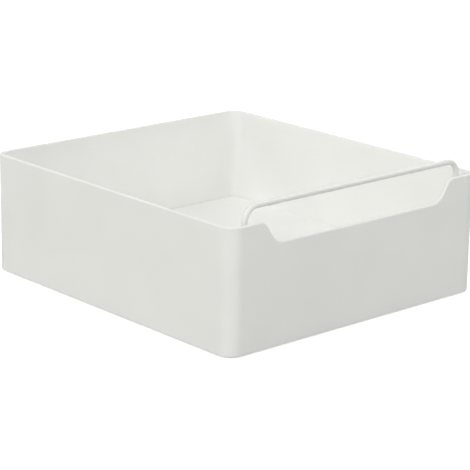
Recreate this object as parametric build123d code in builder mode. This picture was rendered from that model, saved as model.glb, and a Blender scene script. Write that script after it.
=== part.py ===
from build123d import *
import os
from math import asin, cos, degrees, radians, sin, tan

os.makedirs("parts", exist_ok=True)

# Pull-out cabinet organizer: an open moulded bin with a hand notch in its front wall and a folding wire
# handle behind the notch. It stands on two rubber feet at the front and two rollers at the back, which
# hide under the raised floor, so that it rolls when the front is lifted and stays put when it is set down.
# Millimetres. The shelf is z = 0, the front wall faces -Y, and the origin is the middle of the footprint.

# Bin shell
bin_width = 270.0
bin_depth = 296.0
bin_height = 100.0
ground_gap = 1.2
corner_radius = 12.0
wall = 3.0
floor_thickness = 2.5
floor_rounding = 0.5
skirt_rounding = 0.8
rim_rounding = min(1.2, 0.42 * wall)

# Hand notch in the front wall
notch_depth = 18.4
notch_land = 34.3
notch_lean = 33.5
notch_lip_radius = 8.0
notch_root_radius = 13.0

# Wire handle
wire_diameter = 4.8
leg_corner_gap = 7.75
handle_bend_radius = 11.5
pin_bend_radius = 5.0
handle_rise = 11.8
handle_setback = 7.0
handle_lean = 2.0
pin_end_reach = 0.8
pin_chamfer = 0.5

# Handle pivot blocks
pivot_drop = 28.0
pin_clearance = 0.08
barrel_wall = 3.2
bearing_length = 12.0
bearing_gap = 0.5
pivot_seat_drop = 10.0
stop_height = 14.0
stop_gap = 0.3
stop_margin = 0.5
stop_root = 3.0
stop_rounding = 2.0
screw_foot_length = 12.0
screw_foot_thickness = 4.0
block_rounding = 1.0

# Pillars that carry the pivot blocks
pillar_wall = 2.2
pillar_head = 14.0
pillar_rounding = 2.0

# Self-tapping screws
pivot_screw_diameter = 3.0
pivot_screw_length = 13.0
bracket_screw_diameter = 2.6
bracket_screw_length = 8.0
screw_head_height = 2.2
screw_head_overhang = 1.6
screw_point = 1.5
screw_hole_gap = 0.4
pilot_gap = 0.05
pilot_spare = 1.0
cross_width = 0.9
cross_depth = 1.3

# Rollers
roller_diameter = 14.0
roller_width = 9.0
tyre_thickness = 1.6
tyre_rounding = 0.8
tyre_fit = 0.04
hub_flange = 1.0
hub_flange_rise = 0.8
hub_boss_wall = 1.5
hub_rim_wall = 1.1
hub_recess = 1.5
axle_diameter = 3.0
axle_clearance = 0.08
axle_fit = 0.03
axle_reach = 0.4
axle_chamfer = 0.3
roller_side_inset = 35.0
roller_back_inset = 35.0

# Roller brackets
roller_headroom = 0.9
roller_side_gap = 0.4
roller_end_gap = 2.0
bracket_roof = 1.8
bracket_cheek = 2.2
bracket_end_wall = 1.8
bracket_sole = 2.0
bracket_rounding = 1.0
ear_radius = 4.5
ear_thickness = 2.2
ear_clearance = 0.6
boss_radius = 3.8
boss_length = 8.5

# Front feet
foot_diameter = 16.0
foot_pad_height = 4.5
foot_rounding = 1.0
foot_stem_diameter = 5.0
foot_stem_length = 7.0
foot_stem_clearance = 0.1
foot_stem_chamfer = 0.6
foot_boss_wall = 3.4
foot_side_inset = 30.0
foot_front_inset = 36.0

# Ribs under the floor
rib_thickness = 1.6
rib_depth = 5.0
rib_clearance = 12.0
long_rib_count = 5
cross_rib_count = 4

# Levels and faces that the pieces share
rim_z = ground_gap + bin_height
floor_under_z = roller_diameter + roller_headroom + bracket_roof
floor_top_z = floor_under_z + floor_thickness
front_face_y = -bin_depth / 2
front_inside_y = front_face_y + wall
inside_width = bin_width - 2 * wall
inside_depth = bin_depth - 2 * wall
inside_radius = corner_radius - wall
sides = ((-1, "left"), (1, "right"))
near = 0.1

# Handle and pivot places
wire_radius = wire_diameter / 2
leg_x = bin_width / 2 - corner_radius - leg_corner_gap
lean = radians(handle_lean)
leg_length = (pivot_drop + handle_rise) / cos(lean)
pivot_y = front_face_y + handle_setback + leg_length * sin(lean)
pivot_z = rim_z - pivot_drop
barrel_radius = wire_radius + pin_clearance + barrel_wall
bearing_out_x = leg_x - pin_bend_radius - bearing_gap
bearing_in_x = bearing_out_x - bearing_length
foot_in_x = bearing_in_x - screw_foot_length
pin_end_x = bearing_in_x - pin_end_reach
block_back_y = pivot_y + barrel_radius
block_depth = block_back_y - front_inside_y
seat_z = pivot_z - pivot_seat_drop
pivot_screw_x = (bearing_in_x + foot_in_x) / 2
pivot_screw_y = (front_inside_y + block_back_y) / 2
pivot_screw_radius = pivot_screw_diameter / 2
fold_angle = 180 + handle_lean - degrees(asin((barrel_radius + wire_radius + stop_gap) / leg_length))
print("handle folds back to", round(fold_angle, 1), "degrees, where its bar meets the pillars")

# Roller and foot places
roller_radius = roller_diameter / 2
roller_x = bin_width / 2 - roller_side_inset
roller_y = bin_depth / 2 - roller_back_inset
axle_radius = axle_diameter / 2
well_width = roller_width + 2 * roller_side_gap
well_length = roller_diameter + 2 * roller_end_gap
bracket_width = well_width + 2 * bracket_cheek
bracket_length = well_length + 2 * bracket_end_wall
bracket_low_z = roller_radius - axle_radius - bracket_sole
ear_pitch = bracket_length / 2 + boss_radius + ear_clearance
ear_top_z = floor_under_z - boss_length
ear_low_z = ear_top_z - ear_thickness
bracket_screw_radius = bracket_screw_diameter / 2
foot_x = bin_width / 2 - foot_side_inset
foot_y = front_face_y + foot_front_inset
foot_boss_radius = foot_stem_diameter / 2 + foot_stem_clearance + foot_boss_wall

# Bin: one moulded shell with its skirt, raised floor, ribs, bosses and two screw pillars
notch_z = rim_z - notch_depth
notch_top_half = bin_width / 2 - notch_land
notch_root_half = notch_top_half - notch_depth * tan(radians(notch_lean))
notch_wing = notch_lip_radius + wall
pillar_width = bearing_out_x - foot_in_x
pillar_x = (bearing_out_x + foot_in_x) / 2
pillar_core_y = pivot_screw_y - pillar_wall / 2
rib_front_y = foot_y + rib_clearance
rib_back_y = roller_y - ear_pitch - ear_radius - rib_clearance
rib_side_x = roller_x - bracket_width / 2 - rib_clearance

with BuildPart() as bin_shell:
    with BuildSketch(Plane.XY.offset(ground_gap)):
        RectangleRounded(bin_width, bin_depth, corner_radius)
    extrude(amount=bin_height)
    skirt_edges = bin_shell.faces().sort_by(Axis.Z)[0].edges()
    fillet(skirt_edges, skirt_rounding)

    # Inside of the bin, down to the raised floor
    with BuildSketch(Plane.XY.offset(floor_top_z)):
        RectangleRounded(inside_width, inside_depth, inside_radius)
    extrude(amount=rim_z - floor_top_z, mode=Mode.SUBTRACT)
    level_faces = bin_shell.faces().filter_by(Axis.Z)
    floor_face = level_faces.filter_by_position(Axis.Z, floor_top_z - near, floor_top_z + near)[0]
    fillet(floor_face.edges(), floor_rounding)

    # Hand notch, with rounded lips and root
    with BuildSketch(Plane.XZ.offset(-front_inside_y)) as notch_sketch:
        with BuildLine():
            Polyline(
                (-notch_top_half - notch_wing, rim_z + wall),
                (-notch_top_half - notch_wing, rim_z),
                (-notch_top_half, rim_z),
                (-notch_root_half, notch_z),
                (notch_root_half, notch_z),
                (notch_top_half, rim_z),
                (notch_top_half + notch_wing, rim_z),
                (notch_top_half + notch_wing, rim_z + wall),
                close=True,
            )
        make_face()
        lips = notch_sketch.vertices().group_by(Axis.Y)[1].sort_by(Axis.X)[1:3]
        fillet(lips, notch_lip_radius)
        roots = notch_sketch.vertices().group_by(Axis.Y)[0]
        fillet(roots, notch_root_radius)
    extrude(amount=2 * wall, both=True, mode=Mode.SUBTRACT)

    # Rounded rim, carried through the notch
    high_faces = [f for f in bin_shell.faces() if f.center().Z > notch_z - near]
    rim_faces = [f for f in high_faces if f.normal_at().Z > near]
    rim_edges = [e for f in rim_faces for e in f.edges()]
    rim_loops = [e for e in rim_edges if sum(e.is_same(other) for other in rim_edges) == 1]
    fillet(rim_loops, rim_rounding)

    # Hollow under the floor
    with BuildSketch(Plane.XY.offset(ground_gap)):
        RectangleRounded(inside_width, inside_depth, inside_radius)
    extrude(amount=floor_under_z - ground_gap, mode=Mode.SUBTRACT)

    # Stiffening ribs under the floor
    with BuildSketch(Plane.XY.offset(floor_under_z)):
        with GridLocations(2 * rib_side_x / (long_rib_count - 1), 0, long_rib_count, 1):
            Rectangle(rib_thickness, inside_depth + wall)
        with Locations((0, (rib_front_y + rib_back_y) / 2)):
            with GridLocations(0, (rib_back_y - rib_front_y) / (cross_rib_count - 1), 1, cross_rib_count):
                Rectangle(inside_width + wall, rib_thickness)
    extrude(amount=-rib_depth)

    # Bosses for the bracket screws and sockets for the feet
    with BuildSketch(Plane.XY.offset(floor_under_z)):
        with Locations((0, roller_y)):
            with GridLocations(2 * roller_x, 2 * ear_pitch, 2, 2):
                Circle(boss_radius)
    extrude(amount=-boss_length)
    with BuildSketch(Plane.XY.offset(floor_under_z)):
        with Locations((-foot_x, foot_y), (foot_x, foot_y)):
            Circle(foot_boss_radius)
    extrude(amount=foot_pad_height - floor_under_z)

    # Screw pillars inside the front corners, cored out from below
    with BuildSketch(Plane.XY.offset(floor_under_z)):
        with Locations((-pillar_x, pivot_screw_y), (pillar_x, pivot_screw_y)):
            Rectangle(pillar_width, block_depth)
    extrude(amount=seat_z - floor_under_z)
    upright_edges = bin_shell.edges().filter_by(Axis.Z)
    pillar_edges = upright_edges.filter_by_position(Axis.Y, block_back_y - near, block_back_y + near)
    fillet(pillar_edges, pillar_rounding)
    with BuildSketch(Plane.XY.offset(floor_under_z)):
        with Locations((-pillar_x, pillar_core_y), (pillar_x, pillar_core_y)):
            Rectangle(pillar_width - 2 * pillar_wall, block_depth - pillar_wall)
    extrude(amount=seat_z - pillar_head - floor_under_z, mode=Mode.SUBTRACT)

    # Pilot holes and foot sockets
    with BuildSketch(Plane.XY.offset(seat_z)):
        with Locations((-pivot_screw_x, pivot_screw_y), (pivot_screw_x, pivot_screw_y)):
            Circle(pivot_screw_radius + pilot_gap)
    extrude(amount=screw_foot_thickness - pivot_screw_length - pilot_spare, mode=Mode.SUBTRACT)
    with BuildSketch(Plane.XY.offset(ear_top_z)):
        with Locations((0, roller_y)):
            with GridLocations(2 * roller_x, 2 * ear_pitch, 2, 2):
                Circle(bracket_screw_radius + pilot_gap)
    extrude(amount=bracket_screw_length - ear_thickness + pilot_spare, mode=Mode.SUBTRACT)
    with BuildSketch(Plane.XY.offset(foot_pad_height)):
        with Locations((-foot_x, foot_y), (foot_x, foot_y)):
            Circle(foot_stem_diameter / 2 + foot_stem_clearance)
    extrude(amount=foot_stem_length + pilot_spare, mode=Mode.SUBTRACT)

bin_shell.part.label = "bin_shell"
export_step(bin_shell.part, "parts/bin_shell.step")

# Wire handle: one coated steel wire, its ends turned inwards as pivot pins, leaning onto its stops
bail_plane = Plane(origin=(0, pivot_y, pivot_z), x_dir=(1, 0, 0), z_dir=(0, -cos(lean), -sin(lean)))

with BuildPart() as handle_wire:
    with BuildLine(bail_plane) as bail_path:
        FilletPolyline(
            (-pin_end_x, 0),
            (-leg_x, 0),
            (-leg_x, leg_length),
            (leg_x, leg_length),
            (leg_x, 0),
            (pin_end_x, 0),
            radius=[pin_bend_radius, handle_bend_radius, handle_bend_radius, pin_bend_radius],
        )
    with BuildSketch(Plane(origin=bail_path.line @ 0, z_dir=bail_path.line % 0)):
        Circle(wire_radius)
    sweep(path=bail_path.line)
    pin_ends = handle_wire.faces().filter_by(GeomType.PLANE)
    chamfer(pin_ends.edges(), pin_chamfer)

handle_wire.part.label = "handle_wire"
export_step(handle_wire.part, "parts/handle_wire.step")

# Handle pivots: a bearing block, a back plate that stops the leg upright, and a foot for one screw
stop_back_y = pivot_y - stop_height * sin(lean) - wire_radius / cos(lean) - stop_gap
stop_out_x = leg_x + wire_radius + stop_margin
bearing_x = (bearing_out_x + bearing_in_x) / 2
stop_in_x = bearing_out_x - stop_root
stop_low_z = pivot_z - barrel_radius
stop_middle = ((stop_out_x + stop_in_x) / 2, (stop_low_z + pivot_z + stop_height) / 2)

for side, side_name in sides:
    with BuildPart() as handle_pivot:
        with BuildSketch(Plane.YZ.offset(side * bearing_x)):
            with BuildLine():
                Polyline(
                    (pivot_y, pivot_z + barrel_radius),
                    (front_inside_y, pivot_z + barrel_radius),
                    (front_inside_y, seat_z),
                    (block_back_y, seat_z),
                    (block_back_y, pivot_z),
                )
                RadiusArc((block_back_y, pivot_z), (pivot_y, pivot_z + barrel_radius), -barrel_radius)
            make_face()
        extrude(amount=bearing_length / 2, both=True)

        with BuildSketch(Plane.XZ.offset(-front_inside_y)):
            with Locations((side * stop_middle[0], stop_middle[1])):
                RectangleRounded(stop_out_x - stop_in_x, stop_height + barrel_radius, stop_rounding)
        extrude(amount=front_inside_y - stop_back_y)

        with BuildSketch(Plane.XY.offset(seat_z)):
            with Locations((side * pillar_x, pivot_screw_y)):
                Rectangle(pillar_width, block_depth)
        extrude(amount=screw_foot_thickness)
        upright_edges = handle_pivot.edges().filter_by(Axis.Z)
        back_edges = upright_edges.filter_by_position(Axis.Y, block_back_y - near, block_back_y + near)
        fillet(back_edges, block_rounding)

        with BuildSketch(Plane.YZ.offset(side * bearing_x)):
            with Locations((pivot_y, pivot_z)):
                Circle(wire_radius + pin_clearance)
        extrude(amount=bearing_length, both=True, mode=Mode.SUBTRACT)
        with BuildSketch(Plane.XY.offset(seat_z)):
            with Locations((side * pivot_screw_x, pivot_screw_y)):
                Circle(pivot_screw_radius + screw_hole_gap)
        extrude(amount=screw_foot_thickness, mode=Mode.SUBTRACT)

    handle_pivot.part.label = f"handle_pivot_{side_name}"
    export_step(handle_pivot.part, f"parts/handle_pivot_{side_name}.step")


def make_screw(shank_radius, length):
    """A pan-head screw with a cross recess, standing point down with its head seated on z = 0."""
    head_radius = shank_radius + screw_head_overhang
    head_edge = screw_head_height / 2
    with BuildPart() as screw:
        with BuildSketch(Plane.XZ):
            with BuildLine():
                Polyline(
                    (0, screw_head_height),
                    (0, -length),
                    (shank_radius, screw_point - length),
                    (shank_radius, 0),
                    (head_radius, 0),
                    (head_radius, head_edge),
                )
                TangentArc((0, screw_head_height), (head_radius, head_edge), tangent=(1, 0))
            make_face()
        revolve(axis=Axis.Z)
        with BuildSketch(Plane.XY.offset(screw_head_height)):
            Rectangle(2 * shank_radius, cross_width)
            Rectangle(cross_width, 2 * shank_radius)
        extrude(amount=-cross_depth, mode=Mode.SUBTRACT)
    return screw.part


# Pivot screws: one down through each pivot's foot into its pillar
pivot_screw = make_screw(pivot_screw_radius, pivot_screw_length)

with BuildPart() as pivot_screws:
    with Locations((0, pivot_screw_y, seat_z + screw_foot_thickness)):
        with GridLocations(2 * pivot_screw_x, 0, 2, 1):
            add(pivot_screw)

pivot_screws.part.label = "pivot_screws"
export_step(pivot_screws.part, "parts/pivot_screws.step")

# Roller brackets: a moulded housing over each roller with a screw ear before and behind it
for side, side_name in sides:
    with BuildPart() as roller_bracket:
        with BuildSketch(Plane.XY.offset(ear_low_z)):
            with Locations((side * roller_x, roller_y)):
                SlotCenterToCenter(2 * ear_pitch, 2 * ear_radius, rotation=90)
        extrude(amount=ear_thickness)
        with BuildSketch(Plane.XY.offset(bracket_low_z)):
            with Locations((side * roller_x, roller_y)):
                RectangleRounded(bracket_width, bracket_length, bracket_rounding)
        extrude(amount=floor_under_z - bracket_low_z)

        with BuildSketch(Plane.XY.offset(bracket_low_z)):
            with Locations((side * roller_x, roller_y)):
                Rectangle(well_width, well_length)
        extrude(amount=floor_under_z - bracket_roof - bracket_low_z, mode=Mode.SUBTRACT)
        with BuildSketch(Plane.XY.offset(ear_low_z)):
            with Locations((side * roller_x, roller_y)):
                with GridLocations(0, 2 * ear_pitch, 1, 2):
                    Circle(bracket_screw_radius + screw_hole_gap)
        extrude(amount=ear_thickness, mode=Mode.SUBTRACT)
        with BuildSketch(Plane.YZ.offset(side * roller_x)):
            with Locations((roller_y, roller_radius)):
                Circle(axle_radius + axle_fit)
        extrude(amount=bracket_width, both=True, mode=Mode.SUBTRACT)

    roller_bracket.part.label = f"roller_bracket_{side_name}"
    export_step(roller_bracket.part, f"parts/roller_bracket_{side_name}.step")

# Bracket screws: up through each ear into a boss under the floor
bracket_screw = make_screw(bracket_screw_radius, bracket_screw_length)

with BuildPart() as bracket_screws:
    with Locations((0, roller_y, ear_low_z)):
        with GridLocations(2 * roller_x, 2 * ear_pitch, 2, 2):
            add(bracket_screw, rotation=(180, 0, 0))

bracket_screws.part.label = "bracket_screws"
export_step(bracket_screws.part, "parts/bracket_screws.step")

# Axles: steel pins pressed through the bracket cheeks
for side, side_name in sides:
    with BuildPart() as roller_axle:
        with BuildSketch(Plane.YZ.offset(side * roller_x)):
            with Locations((roller_y, roller_radius)):
                Circle(axle_radius)
        extrude(amount=bracket_width / 2 + axle_reach, both=True)
        axle_ends = roller_axle.faces().filter_by(Axis.X)
        chamfer(axle_ends.edges(), axle_chamfer)

    roller_axle.part.label = f"roller_axle_{side_name}"
    export_step(roller_axle.part, f"parts/roller_axle_{side_name}.step")

# Rollers: a flanged hub that turns on the axle, with a soft tyre stretched between its flanges
hub_seat = roller_radius - tyre_thickness
hub_side = roller_width / 2
flange_in = hub_side - hub_flange
boss_out = axle_radius + axle_clearance + hub_boss_wall
rim_in = hub_seat - hub_rim_wall

for side, side_name in sides:
    axle_middle = (side * roller_x, roller_y, roller_radius)
    axle_line = Axis(axle_middle, (1, 0, 0))
    section = Plane(origin=axle_middle, x_dir=(1, 0, 0), z_dir=(0, -1, 0))

    with BuildPart() as roller_hub:
        with BuildSketch(section):
            with BuildLine():
                half = Polyline(
                    (0, axle_radius + axle_clearance),
                    (hub_side, axle_radius + axle_clearance),
                    (hub_side, boss_out),
                    (hub_side - hub_recess, boss_out),
                    (hub_side - hub_recess, rim_in),
                    (hub_side, rim_in),
                    (hub_side, hub_seat + hub_flange_rise),
                    (flange_in, hub_seat + hub_flange_rise),
                    (flange_in, hub_seat),
                    (0, hub_seat),
                )
                mirror(half, about=Plane.YZ)
            make_face()
        revolve(axis=axle_line)

    with BuildPart() as roller_tyre:
        with BuildSketch(section) as tyre_section:
            with Locations((0, (hub_seat + tyre_fit + roller_radius) / 2)):
                Rectangle(2 * (flange_in - tyre_fit), tyre_thickness - tyre_fit)
            fillet(tyre_section.vertices().group_by(Axis.Y)[-1], tyre_rounding)
        revolve(axis=axle_line)

    roller_hub.part.label = f"roller_hub_{side_name}"
    export_step(roller_hub.part, f"parts/roller_hub_{side_name}.step")
    roller_tyre.part.label = f"roller_tyre_{side_name}"
    export_step(roller_tyre.part, f"parts/roller_tyre_{side_name}.step")

# Front feet: rubber pads with a stem pushed into a socket under the floor
for side, side_name in sides:
    with BuildPart() as front_foot:
        with BuildSketch(Plane.XY):
            with Locations((side * foot_x, foot_y)):
                Circle(foot_diameter / 2)
        extrude(amount=foot_pad_height)
        fillet(front_foot.edges().sort_by(Axis.Z)[0], foot_rounding)
        with BuildSketch(Plane.XY.offset(foot_pad_height)):
            with Locations((side * foot_x, foot_y)):
                Circle(foot_stem_diameter / 2)
        extrude(amount=foot_stem_length)
        chamfer(front_foot.edges().sort_by(Axis.Z)[-1], foot_stem_chamfer)

    front_foot.part.label = f"front_foot_{side_name}"
    export_step(front_foot.part, f"parts/front_foot_{side_name}.step")
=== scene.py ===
import math

import bmesh
import bpy
import numpy as np
from mathutils import Matrix, Vector


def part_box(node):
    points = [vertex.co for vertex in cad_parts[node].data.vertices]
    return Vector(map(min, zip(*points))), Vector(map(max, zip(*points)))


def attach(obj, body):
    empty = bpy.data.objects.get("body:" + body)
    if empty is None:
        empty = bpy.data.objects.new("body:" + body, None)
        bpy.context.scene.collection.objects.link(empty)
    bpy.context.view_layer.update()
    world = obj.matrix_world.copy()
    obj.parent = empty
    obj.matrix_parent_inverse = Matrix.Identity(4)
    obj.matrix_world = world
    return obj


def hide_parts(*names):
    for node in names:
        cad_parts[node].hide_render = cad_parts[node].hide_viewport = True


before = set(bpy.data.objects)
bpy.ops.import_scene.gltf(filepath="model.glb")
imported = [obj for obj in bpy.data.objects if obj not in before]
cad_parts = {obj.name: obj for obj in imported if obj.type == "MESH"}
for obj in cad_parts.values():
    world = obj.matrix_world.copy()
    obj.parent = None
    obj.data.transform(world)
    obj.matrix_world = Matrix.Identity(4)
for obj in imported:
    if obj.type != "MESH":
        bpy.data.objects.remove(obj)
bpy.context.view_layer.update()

# Bin: one injection moulding in off-white polypropylene, with a raised floor inside and a skirt below it.
# It comes from a mould whose faces were spark-eroded to a fine even grain, so the walls are satin and the
# rounded rim catches a thin bright line. Its base colour is darkened along the crease at the back of the
# floor, as painted shade.


def linear(hex_colour):
    """An sRGB hex colour as linear red, green, blue and alpha, by the two-part sRGB curve."""
    channels = [int(hex_colour[i:i + 2], 16) / 255 for i in (1, 3, 5)]
    return [c / 12.92 if c <= 0.04045 else ((c + 0.055) / 1.055) ** 2.4 for c in channels] + [1.0]


def add_node(tree, kind, links=(), **settings):
    """Adds one shader node. A setting that names an input socket fills it, and any other sets a property;
    each link is (output socket, this node's input)."""
    node = tree.nodes.new(kind)
    for name, value in settings.items():
        socket = node.inputs.get(name.replace("_", " "))
        if socket is not None:
            socket.default_value = value
        else:
            setattr(node, name, value)
    for output, name in links:
        tree.links.new(output, node.inputs[name])
    return node


def new_material(name):
    """A new node material, its tree and its Principled shader."""
    material = bpy.data.materials.new(name)
    material.use_nodes = True
    tree = material.node_tree
    return material, tree, tree.nodes["Principled BSDF"]


def lay_finish(tree, shader, tone, gloss, skin):
    """Leads a shader's colour, roughness and bump by noise patterns. Tone is (pattern, dark, light), and the
    colour runs between the two over the middle of the pattern's range, where most of a noise lies; gloss is
    (pattern, lowest roughness, highest roughness), and skin is (pattern, strength, depth in metres)."""
    ramp_start = 0.3
    ramp_end = 0.7
    ramp = add_node(tree, "ShaderNodeValToRGB", [(tone[0].outputs["Fac"], "Fac")])
    first, last = ramp.color_ramp.elements
    first.position = ramp_start
    first.color = linear(tone[1])
    last.position = ramp_end
    last.color = linear(tone[2])
    roughness = add_node(
        tree,
        "ShaderNodeMapRange",
        [(gloss[0].outputs["Fac"], "Value")],
        To_Min=gloss[1],
        To_Max=gloss[2],
    )
    bump = add_node(
        tree,
        "ShaderNodeBump",
        [(skin[0].outputs["Fac"], "Height")],
        Strength=skin[1],
        Distance=skin[2],
    )
    tree.links.new(ramp.outputs["Color"], shader.inputs["Base Color"])
    tree.links.new(roughness.outputs["Result"], shader.inputs["Roughness"])
    tree.links.new(bump.outputs["Normal"], shader.inputs["Normal"])
    return ramp.outputs["Color"]


def dress(material, *names):
    """Puts one material in the slot of each named CAD node."""
    for name in names:
        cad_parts[name].material_slots[0].material = material


def crease_painted_shade(tree, place, tone):
    """Painted shade in the crease round the floor: the tone is darkened there to stand for shade. A point's
    reach is its distance past the centres of the inner corners; reach less the corners' radius, and height
    less the floor's, give how far it lies from the crease. The tone is dimmed near the crease, most at the
    back and less and less along the side walls."""
    wall = 0.003
    floor_thickness = 0.0025
    corner = 0.009      # radius of the inner corners
    width = 0.0028      # the painted shade ends this far from the crease
    fade = 0.03         # the painted shade thins out over this length of the side walls
    dimmest = 0.93      # share of the tone that is left in the crease
    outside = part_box("bin_shell")[1]
    centre_x = outside[0] - wall - corner
    centre_y = outside[1] - wall - corner
    floor_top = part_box("roller_bracket_left")[1][2] + floor_thickness
    plan = add_node(tree, "ShaderNodeMapping", [(place, "Vector")], Scale=(1, 1, 0)).outputs["Vector"]
    half = add_node(tree, "ShaderNodeVectorMath", [(plan, "Vector")], operation="ABSOLUTE").outputs["Vector"]
    past = add_node(tree, "ShaderNodeMapping", [(half, "Vector")], Location=(-centre_x, -centre_y, 0))
    outer = add_node(
        tree,
        "ShaderNodeVectorMath",
        [(past.outputs["Vector"], "Vector")],
        operation="MAXIMUM",
    )
    reach = add_node(
        tree,
        "ShaderNodeVectorMath",
        [(outer.outputs["Vector"], "Vector")],
        operation="LENGTH",
    )
    spot = add_node(tree, "ShaderNodeSeparateXYZ", [(place, "Vector")])
    section = add_node(
        tree,
        "ShaderNodeCombineXYZ",
        [(reach.outputs["Value"], "X"), (spot.outputs["Z"], "Y")],
    )
    crease = add_node(
        tree,
        "ShaderNodeMapping",
        [(section.outputs["Vector"], "Vector")],
        Location=(-corner, -floor_top, 0),
    )
    apart = add_node(
        tree,
        "ShaderNodeVectorMath",
        [(crease.outputs["Vector"], "Vector")],
        operation="LENGTH",
    )
    rear = add_node(
        tree,
        "ShaderNodeMapRange",
        [(spot.outputs["Y"], "Value")],
        From_Min=centre_y - fade,
        From_Max=centre_y,
        To_Min=1.0,
        To_Max=dimmest,
    )
    # painted shade: the tone is scaled down towards the crease, to dimmest at the back
    dust_and_painted_shade = add_node(
        tree,
        "ShaderNodeMapRange",
        [(apart.outputs["Value"], "Value"), (rear.outputs["Result"], "To Min")],
        interpolation_type="SMOOTHSTEP",
        From_Max=width,
    )
    painted_shade_tone = add_node(
        tree,
        "ShaderNodeVectorMath",
        [(tone, "Vector"), (dust_and_painted_shade.outputs["Result"], "Scale")],
        operation="SCALE",
    )
    return painted_shade_tone.outputs["Vector"]


def moulded_polypropylene():
    """Polypropylene: a milky satin plastic, a little uneven in tone where the melt flowed."""
    grain = 0.0012      # spark-eroded grain is about 0.2 mm; drawn coarser so that it shows
    flow = 0.07         # width of the pale flow clouds
    handling = 0.018    # width of the patches that hands have polished
    material, tree, shader = new_material("satin_polypropylene")
    place = add_node(tree, "ShaderNodeTexCoord").outputs["Object"]
    clouds = add_node(tree, "ShaderNodeTexNoise", [(place, "Vector")], Scale=1 / flow, Detail=3.0)
    patches = add_node(tree, "ShaderNodeTexNoise", [(place, "Vector")], Scale=1 / handling, Detail=4.0)
    pits = add_node(tree, "ShaderNodeTexNoise", [(place, "Vector")], Scale=1 / grain, Detail=2.0)
    tone = lay_finish(
        tree,
        shader,
        tone=(clouds, "#EEEEED", "#F2F2F1"),
        gloss=(patches, 0.44, 0.56),
        skin=(pits, 0.12, 0.0001),
    )
    # painted shade: the base colour is darkened in the crease round the floor, most at the back
    tree.links.new(crease_painted_shade(tree, place, tone), shader.inputs["Base Color"])
    shader.inputs["IOR"].default_value = 1.49
    return material


bin_plastic = moulded_polypropylene()
dress(bin_plastic, "bin_shell")

# Ejector marks: twelve round witness rings under the floor, one in each inner field between the ribs.
# The mould's ejector pins push the hot moulding off its core there, and the plastic that creeps round each
# pin sets as a low ridge.


def new_piece(name, points, faces, material, body):
    """Makes one closed mesh from points and four-cornered faces, with its doubles merged and its faces
    turned outwards, and lets it ride on a body. Edges that bend by more than the sharp angle stay crisp."""
    doubles_gap = 1e-7
    sharp_angle = math.radians(40)
    mesh = bpy.data.meshes.new(name)
    mesh.from_pydata(points.reshape(-1, 3).tolist(), [], faces.reshape(-1, 4).tolist())
    shell = bmesh.new()
    shell.from_mesh(mesh)
    bmesh.ops.remove_doubles(shell, verts=shell.verts, dist=doubles_gap)
    bmesh.ops.recalc_face_normals(shell, faces=shell.faces)
    shell.to_mesh(mesh)
    shell.free()
    mesh.polygons.foreach_set("use_smooth", np.ones(len(mesh.polygons), dtype=bool))
    mesh.set_sharp_from_angle(angle=sharp_angle)
    mesh.materials.append(material)
    piece = bpy.data.objects.new(name, mesh)
    bpy.context.scene.collection.objects.link(piece)
    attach(piece, body)
    return piece


def ring_faces(rows, columns, closed_rows):
    """Corner numbers of the four-cornered faces of a rows by columns grid whose columns run round to the
    first again; its last row joins its first when closed_rows is set."""
    number = np.arange(rows * columns).reshape(rows, columns)
    low = number if closed_rows else number[:-1]
    high = np.roll(number, -1, axis=0) if closed_rows else number[1:]
    return np.stack([low, np.roll(low, -1, axis=1), np.roll(high, -1, axis=1), high], axis=-1)


def ejector_rings(columns, rows, radius, ridge, height, under):
    """Ridges carried round circles: with t round the section and a round the circle, a point lies at
    radius + ridge * cos t from the ring's centre and height * sin t below the floor. The upper half of the
    section lies inside the floor."""
    section_steps = 12
    turn_steps = 40
    section = np.linspace(0, 2 * np.pi, section_steps, endpoint=False)[:, None]
    turn = np.linspace(0, 2 * np.pi, turn_steps, endpoint=False)[None, :]
    reach = radius + ridge * np.cos(section)
    x = reach * np.cos(turn)
    y = reach * np.sin(turn)
    z = under - height * np.sin(section) + 0 * turn
    ring = np.stack([x, y, z], axis=-1)
    centres = np.stack(np.meshgrid(columns, rows, [0.0], indexing="ij"), axis=-1).reshape(-1, 1, 1, 3)
    first_numbers = np.arange(len(centres)).reshape(-1, 1, 1, 1) * section_steps * turn_steps
    return centres + ring[None], ring_faces(section_steps, turn_steps, True)[None] + first_numbers


points, faces = ejector_rings(
    columns=[-0.0607, -0.0202, 0.0202, 0.0607],
    rows=[-0.0698, -0.0093, 0.0511],
    radius=0.004,
    ridge=0.0003,
    height=0.00025,
    under=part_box("roller_bracket_left")[1][2],
)
new_piece("ejector_marks", points, faces, bin_plastic, "bin")

# Handle pivots: two bearing blocks in natural nylon inside the front corners, each with a plate that stops
# the handle upright. They are moulded, slide down onto the pillars and are held by one screw each.


def moulded_fitting(name, dark, light, low_gloss, high_gloss):
    """A small moulding in nylon, acetal or polypropylene: slightly waxy, with a faint mottling."""
    mottle = 0.006      # spacing of the mottling
    grain = 0.0008      # the tool marks are finer; drawn coarser so that they show
    material, tree, shader = new_material(name)
    place = add_node(tree, "ShaderNodeTexCoord").outputs["Object"]
    cloud = add_node(tree, "ShaderNodeTexNoise", [(place, "Vector")], Scale=1 / mottle, Detail=3.0)
    fine = add_node(tree, "ShaderNodeTexNoise", [(place, "Vector")], Scale=1 / grain, Detail=1.0)
    lay_finish(
        tree,
        shader,
        tone=(cloud, dark, light),
        gloss=(cloud, low_gloss, high_gloss),
        skin=(fine, 0.15, 0.00005),
    )
    shader.inputs["IOR"].default_value = 1.53
    return material


pivot_nylon = moulded_fitting("natural_nylon", "#DBDCD2", "#E3E4DB", low_gloss=0.3, high_gloss=0.42)
dress(pivot_nylon, "handle_pivot_left", "handle_pivot_right")

# Handle: one steel wire bent to a bail, its ends turned inwards as pins. It is powder coated in the same
# off-white, which leaves a smooth skin with a slight orange peel.


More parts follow.
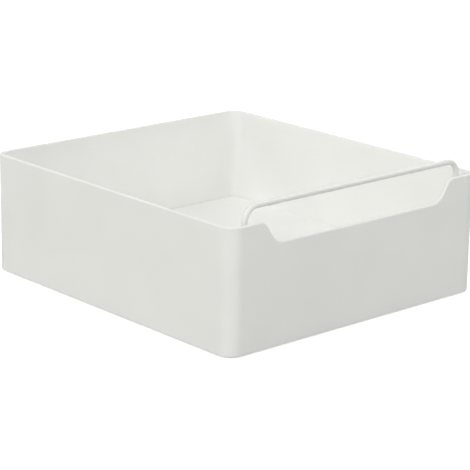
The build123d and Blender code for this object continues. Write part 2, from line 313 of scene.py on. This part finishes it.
def powder_coat():
    """Baked powder coat: smoother than the bin, with long low ripples."""
    peel = 0.0016       # spacing of the orange peel
    patch = 0.02        # spacing of slow changes in gloss
    material, tree, shader = new_material("powder_coated_wire")
    place = add_node(tree, "ShaderNodeTexCoord").outputs["Object"]
    patches = add_node(tree, "ShaderNodeTexNoise", [(place, "Vector")], Scale=1 / patch, Detail=2.0)
    ripples = add_node(tree, "ShaderNodeTexNoise", [(place, "Vector")], Scale=1 / peel, Detail=1.0)
    lay_finish(
        tree,
        shader,
        tone=(patches, "#ECECEB", "#F0F0EF"),
        gloss=(patches, 0.38, 0.48),
        skin=(ripples, 0.1, 0.0001),
    )
    return material


dress(powder_coat(), "handle_wire")

# Roller brackets: housings in the bin's own polypropylene, moulded on a small tool with its own finish.
# Each stands against the underside of the floor and is screwed to two bosses.
bracket_plastic = moulded_fitting(
    "bracket_polypropylene",
    "#D9DAD3",
    "#E0E1DA",
    low_gloss=0.42,
    high_gloss=0.55,
)
dress(bracket_plastic, "roller_bracket_left", "roller_bracket_right")

# Screws: pan-head self-tapping screws in zinc-plated steel, one in each pivot and two in each bracket.
# Cold-headed, thread-rolled and barrel plated, so they are bright but softly scratched.


def zinc_plate():
    """Bright zinc: a bluish white metal, its gloss broken by small scuffs from the plating barrel."""
    scuff = 0.0007      # width of the scuffs
    material, tree, shader = new_material("zinc_plated_steel")
    place = add_node(tree, "ShaderNodeTexCoord").outputs["Object"]
    scuffs = add_node(tree, "ShaderNodeTexNoise", [(place, "Vector")], Scale=1 / scuff, Detail=4.0)
    lay_finish(
        tree,
        shader,
        tone=(scuffs, "#B9BDC2", "#D3D6DA"),
        gloss=(scuffs, 0.22, 0.45),
        skin=(scuffs, 0.15, 0.00003),
    )
    shader.inputs["Metallic"].default_value = 1.0
    return material


dress(zinc_plate(), "pivot_screws", "bracket_screws")

# Axles: bright drawn steel pins pressed through the cheeks of the brackets.
# Drawing the rod through its die leaves fine lines along its length.


def drawn_steel():
    """Drawn steel: a grey metal with long fine lines along X, the way the axles lie."""
    line = 0.0003       # spacing of the drawing lines
    stretch = 40        # the lines are this many times longer than wide
    material, tree, shader = new_material("bright_drawn_steel")
    place = add_node(tree, "ShaderNodeTexCoord").outputs["Object"]
    along = add_node(tree, "ShaderNodeMapping", [(place, "Vector")], Scale=(1 / stretch, 1, 1))
    lines = add_node(
        tree,
        "ShaderNodeTexNoise",
        [(along.outputs["Vector"], "Vector")],
        Scale=1 / line,
        Detail=2.0,
    )
    lay_finish(
        tree,
        shader,
        tone=(lines, "#A9ABAE", "#C6C8CA"),
        gloss=(lines, 0.18, 0.34),
        skin=(lines, 0.2, 0.00002),
    )
    shader.inputs["Metallic"].default_value = 1.0
    return material


dress(drawn_steel(), "roller_axle_left", "roller_axle_right")

# Roller hubs: flanged wheels in white acetal that turn on the axles.
# Moulded in one piece with a recessed web on each side.
hub_acetal = moulded_fitting("white_acetal", "#DDDDD8", "#E6E6E2", low_gloss=0.24, high_gloss=0.34)
dress(hub_acetal, "roller_hub_left", "roller_hub_right")

# Roller tyres: soft grey rubber treads stretched over the hubs between their flanges.
# Each has three grooves round it and fine cuts across, which keep it from slipping on a smooth shelf.


def moulded_rubber(name, dark, light):
    """Rubber: matt and dark, dusted paler where it has been handled."""
    dust_and_painted_shade = 0.003        # width of the dusty patches
    grain = 0.0005      # the moulded grain is finer; drawn coarser so that it shows
    material, tree, shader = new_material(name)
    place = add_node(tree, "ShaderNodeTexCoord").outputs["Object"]
    patches = add_node(tree, "ShaderNodeTexNoise", [(place, "Vector")], Scale=1 / dust_and_painted_shade, Detail=4.0)
    fine = add_node(tree, "ShaderNodeTexNoise", [(place, "Vector")], Scale=1 / grain, Detail=2.0)
    lay_finish(
        tree,
        shader,
        tone=(patches, dark, light),
        gloss=(patches, 0.62, 0.85),
        skin=(fine, 0.3, 0.00006),
    )
    shader.inputs["IOR"].default_value = 1.52
    return material


def tread(low, high, thickness, shoulder, groove_depth, groove_half, groove_pitch, cut_depth, cuts):
    """A rubber ring with its tread. A loop of (x, radius) runs across the tread and back along the bore;
    on the tread the radius falls by a bell-shaped groove at each pitch, by a quarter circle at each shoulder
    and by a narrow bell of the turn angle at each cut. The loop is carried round the X axis through the
    box's middle."""
    across_steps = 81
    bore_steps = 9
    turn_steps = 192
    cut_sharpness = 16
    middle = (np.array(low) + np.array(high)) / 2
    half = (high[0] - low[0]) / 2
    outer = (high[2] - low[2]) / 2
    across = np.linspace(-half, half, across_steps)
    turn = np.linspace(0, 2 * np.pi, turn_steps, endpoint=False)[None, :]
    edge = np.clip((np.abs(across) - half + shoulder) / shoulder, 0, 1)
    rounding = shoulder * (1 - np.sqrt(1 - edge ** 2))
    lanes = np.array([-groove_pitch, 0, groove_pitch])
    grooves = groove_depth * np.exp(-((across[:, None] - lanes) / groove_half) ** 2).sum(axis=1)
    bell = np.cos(cuts * turn / 2) ** cut_sharpness
    crown = outer - (rounding + grooves)[:, None] - cut_depth * (1 - edge ** 2)[:, None] * bell
    bore = np.full((bore_steps, turn_steps), outer - thickness)
    x = np.concatenate([across, np.linspace(half, -half, bore_steps)])
    radius = np.concatenate([crown, bore])
    points = np.stack(
        [
            middle[0] + x[:, None] + 0 * turn,
            middle[1] + radius * np.cos(turn),
            middle[2] + radius * np.sin(turn),
        ],
        axis=-1,
    )
    return points, ring_faces(x.size, turn_steps, True)


tyre_rubber = moulded_rubber("tyre_rubber", "#3A3B3B", "#474847")
for side in ("left", "right"):
    points, faces = tread(
        *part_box(f"roller_tyre_{side}"),
        thickness=0.00156,
        shoulder=0.0008,
        groove_depth=0.00035,
        groove_half=0.00025,
        groove_pitch=0.0013,
        cut_depth=0.0002,
        cuts=24,
    )
    tyre = new_piece(f"ribbed_tyre_{side}", points, faces, tyre_rubber, f"roller_{side}")
    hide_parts(f"roller_tyre_{side}")

# Front feet: grey rubber pads with a stem that is pushed into a socket under the floor.
# The sole has four rings cut in it, which grip the shelf once the handle is let go.


def ringed_foot(low, high, pad_height, edge_rounding, stem_radius, stem_chamfer, ring_depth, ring_half):
    """A pad and stem turned about an upright axis. The profile of (radius, height) starts at the middle of
    the sole, where bell-shaped grooves raise the height at four radii, goes round the edge by a quarter
    circle, up the side, in to the stem and up to its chamfered tip; each of its points is carried once round
    the axis."""
    sole_steps = 90
    edge_steps = 9
    turn_steps = 72
    ring_places = np.array([0.28, 0.48, 0.68, 0.88])     # shares of the flat sole's radius
    middle = (np.array(low) + np.array(high)) / 2
    pad = (high[0] - low[0]) / 2
    tall = high[2] - low[2]
    flat = pad - edge_rounding
    sole = np.linspace(0, flat, sole_steps)
    cut = ring_depth * np.exp(-((sole[:, None] - flat * ring_places) / ring_half) ** 2).sum(axis=1)
    bend = np.linspace(0, np.pi / 2, edge_steps)[1:]
    radius = np.concatenate(
        [
            sole,
            flat + edge_rounding * np.sin(bend),
            [pad, stem_radius, stem_radius, stem_radius - stem_chamfer, 0.0],
        ]
    )
    height = np.concatenate(
        [
            cut,
            edge_rounding * (1 - np.cos(bend)),
            [pad_height, pad_height, tall - stem_chamfer, tall, tall],
        ]
    )
    turn = np.linspace(0, 2 * np.pi, turn_steps, endpoint=False)[None, :]
    points = np.stack(
        [
            middle[0] + radius[:, None] * np.cos(turn),
            middle[1] + radius[:, None] * np.sin(turn),
            low[2] + height[:, None] + 0 * turn,
        ],
        axis=-1,
    )
    return points, ring_faces(radius.size, turn_steps, False)


foot_rubber = moulded_rubber("foot_rubber", "#454645", "#525351")
for side in ("left", "right"):
    points, faces = ringed_foot(
        *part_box(f"front_foot_{side}"),
        pad_height=0.0045,
        edge_rounding=0.001,
        stem_radius=0.0025,
        stem_chamfer=0.0006,
        ring_depth=0.0005,
        ring_half=0.0003,
    )
    foot = new_piece(f"ringed_foot_{side}", points, faces, foot_rubber, "bin")
    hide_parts(f"front_foot_{side}")

# Table and light: a white paper sweep, flat under the bin and bent up into a wall all round, and six soft
# lamps in a room that is dark otherwise. Only the camera sees the sweep. The light that comes back at the
# bin from below is that of a matt grey sheet just under it.


def paper_sheet(name, tone, glow, radius, height):
    """A sheet turned about an upright axis: a round flat middle, and from its edge on each profile point of
    (radius, height) is carried once round. The bands round the middle are turned to face as it does."""
    turn_steps = 96
    turn = np.linspace(0, 2 * np.pi, turn_steps, endpoint=False)[None, :]
    points = np.stack(
        [
            radius[:, None] * np.cos(turn),
            radius[:, None] * np.sin(turn),
            height[:, None] + 0 * turn,
        ],
        axis=-1,
    )
    middle = [list(range(turn_steps))]
    bands = ring_faces(radius.size, turn_steps, False)[..., ::-1]
    mesh = bpy.data.meshes.new(name)
    mesh.from_pydata(points.reshape(-1, 3).tolist(), [], middle + bands.reshape(-1, 4).tolist())
    mesh.polygons.foreach_set("use_smooth", np.ones(len(mesh.polygons), dtype=bool))
    paper, _, shader = new_material(name)
    shader.inputs["Base Color"].default_value = linear(tone)
    shader.inputs["Roughness"].default_value = 0.9
    shader.inputs["Specular IOR Level"].default_value = 0.0
    shader.inputs["Emission Color"].default_value = linear("#FFFFFF")
    shader.inputs["Emission Strength"].default_value = glow
    mesh.materials.append(paper)
    sheet = bpy.data.objects.new(name, mesh)
    bpy.context.scene.collection.objects.link(sheet)
    return sheet


flat_radius = 6.0
bend_radius = 2.0
wall_top = 6.0
sweep_drop = 0.0002     # the sweep lies this far below the feet
sheet_drop = 0.0003     # and the grey sheet this far
bend_steps = 25
bend = np.linspace(0, np.pi / 2, bend_steps)
white_sweep = paper_sheet(
    "white_sweep",
    "#F7F7F7",
    glow=0.6,
    radius=np.append(flat_radius + bend_radius * np.sin(bend), flat_radius + bend_radius),
    height=np.append(bend_radius * (1 - np.cos(bend)), wall_top) - sweep_drop,
)
white_sweep.visible_diffuse = False
white_sweep.visible_glossy = False
white_sweep.visible_shadow = False
grey_sheet = paper_sheet(
    "grey_sheet",
    "#BCBCBC",
    glow=0.0,
    radius=np.array([flat_radius + bend_radius]),
    height=np.array([-sheet_drop]),
)
grey_sheet.visible_camera = False

scene = bpy.context.scene
scene.view_settings.view_transform = "Standard"
scene.world = bpy.data.worlds.new("dark_room")
scene.world.use_nodes = True
scene.world.node_tree.nodes["Background"].inputs["Strength"].default_value = 0.0

# Each lamp has its strength, the degrees it stands round from the left towards the front, the degrees it
# stands above the table, and its colour
lamps = {
    "back_left_lamp": (0.91, -45, 12, "#FFFBF5"),
    "left_lamp": (1.2, 6, 35, "#FEFFFB"),
    "high_front_lamp": (0.78, 40, 60, "#FEFFFB"),
    "front_lamp": (1.17, 90, 17, "#FEFFFA"),
    "right_lamp": (0.92, 180, 37, "#FEFFFB"),
    "high_back_lamp": (0.73, 250, 60, "#FEFFFB"),
}
lamp_width = math.radians(40)
for name, (strength, around, rise, tone) in lamps.items():
    aside = math.cos(math.radians(rise))
    way = Vector(
        (
            aside * math.cos(math.radians(around)),
            aside * math.sin(math.radians(around)),
            -math.sin(math.radians(rise)),
        )
    )
    lamp = bpy.data.lights.new(name, "SUN")
    lamp.color = linear(tone)[:3]
    lamp.energy = strength
    lamp.angle = lamp_width
    holder = bpy.data.objects.new(name, lamp)
    holder.rotation_mode = "QUATERNION"
    holder.rotation_quaternion = way.to_track_quat("-Z", "Y")
    scene.collection.objects.link(holder)

# Camera: a long lens on a stand to the front left of the bin, a little above its rim, so that the near
# corner stands just left of the middle and the inside shows down to the floor at the back.
azimuth = math.radians(-42.1116)
elevation = math.radians(16.3241)
roll = math.radians(0.9986)
back = Vector(
    (
        math.sin(azimuth) * math.cos(elevation),
        -math.cos(azimuth) * math.cos(elevation),
        math.sin(elevation),
    )
)
level_right = Vector((0, 0, 1)).cross(back).normalized()
level_up = back.cross(level_right)
right = math.cos(roll) * level_right + math.sin(roll) * level_up
up = math.cos(roll) * level_up - math.sin(roll) * level_right
lens = bpy.data.cameras.new("camera")
lens.sensor_width = 36.0
lens.lens = 149.65
camera = bpy.data.objects.new("camera", lens)
camera_place = Matrix.Translation((-1.043248, -1.157197, 0.495025))
camera.matrix_world = camera_place @ Matrix((right, up, back)).transposed().to_4x4()
scene.collection.objects.link(camera)
scene.camera = camera
